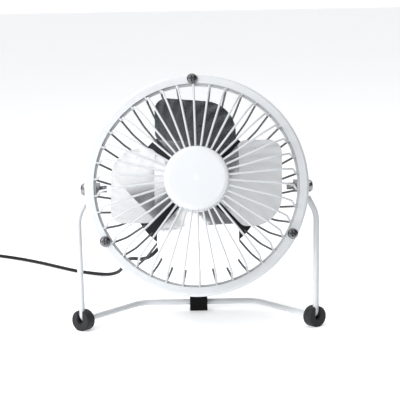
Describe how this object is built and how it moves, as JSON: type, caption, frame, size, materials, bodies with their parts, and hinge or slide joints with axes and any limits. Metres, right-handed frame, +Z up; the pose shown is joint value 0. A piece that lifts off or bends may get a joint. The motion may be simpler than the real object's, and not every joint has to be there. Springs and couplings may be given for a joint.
{
  "type": "desk fan",
  "caption": "Small metal desk fan with wire guards and flat metal blades, tilting on a bent-wire stand, with a rocker switch and a USB lead.",
  "frame": {"origin": "on the table under the middle of the fan, measured without its lead", "axes": "+Z up, the fan faces -Y, +X to the viewer's right"},
  "size_m": [0.2615, 0.2546, 0.143],
  "materials": {
    "white_paint": "semi-gloss powder coat",
    "grey_paint": "dark grey paint",
    "black_paint": "black paint",
    "cover_black": "fine matt texture",
    "rocker_black": "smooth",
    "blade_aluminium": "polished sheet",
    "plated_steel": "bright zinc plate",
    "shaft_steel": "ground",
    "rubber_black": "matt",
    "cable_black": "satin",
    "plug_black": "satin",
    "tongue_white": "smooth",
    "nylon_black": "smooth",
    "end_cap_nylon": "smooth",
    "brass": "turned",
    "copper": "enamelled or bare copper",
    "magnet": "ferrite",
    "lead_red": "insulation",
    "lead_black": "insulation"
  },
  "bodies": {
    "stand": {"stand_wire": "white_paint", "foot_left": "rubber_black", "foot_right": "rubber_black", "rear_foot_block": "rubber_black", "cable_run": "cable_black", "cable_coil": "cable_black", "cable_tail": "cable_black", "usb_plug_grip": "plug_black", "usb_plug_shell": "plated_steel", "usb_plug_tongue": "tongue_white"},
    "head": {"front_ring": "white_paint", "front_guard_wires": "white_paint", "front_cap": "white_paint", "rear_ring": "grey_paint", "rear_guard_rim": "grey_paint", "rear_guard_wires": "grey_paint", "rear_plate": "black_paint", "motor_cover": "cover_black", "cover_screws": "plated_steel", "switch_body": "cover_black", "switch_terminals": "brass", "guard_screws": "plated_steel", "guard_nuts": "plated_steel", "pivot_screws": "plated_steel", "pivot_washers": "nylon_black", "pivot_nuts": "plated_steel", "motor_can": "plated_steel", "motor_end_cap": "end_cap_nylon", "front_bush": "brass", "rear_bush": "brass", "motor_magnets": "magnet", "motor_brushes": "copper", "motor_terminals": "copper", "motor_screws": "plated_steel", "lead_to_switch": "lead_red", "lead_switch_to_motor": "lead_red", "lead_return": "lead_black", "strain_relief": "rubber_black", "cable_stub": "cable_black"},
    "rotor": {"motor_shaft": "shaft_steel", "armature_core": "shaft_steel", "armature_windings": "copper", "commutator": "copper", "blade_hub": "brass", "blade_clamp": "brass", "fan_blades": "blade_aluminium"},
    "rocker": {"switch_rocker": "rocker_black"}
  },
  "joints": [
    {"name": "head_tilt", "type": "hinge", "parent": "stand", "child": "head", "pos_m": [0, 0.0036, 0.078], "axis": [-1, 0, 0], "range_deg": [-25, 30]},
    {"name": "blade_spin", "type": "hinge", "parent": "head", "child": "rotor", "pos_m": [0, 0.0036, 0.078], "axis": [0, -0.9527, 0.304], "continuous": true},
    {"name": "switch_rock", "type": "hinge", "parent": "head", "child": "rocker", "pos_m": [0, 0.03511, 0.07739], "axis": [1, 0, 0], "range_deg": [0, 14]}
  ]
}
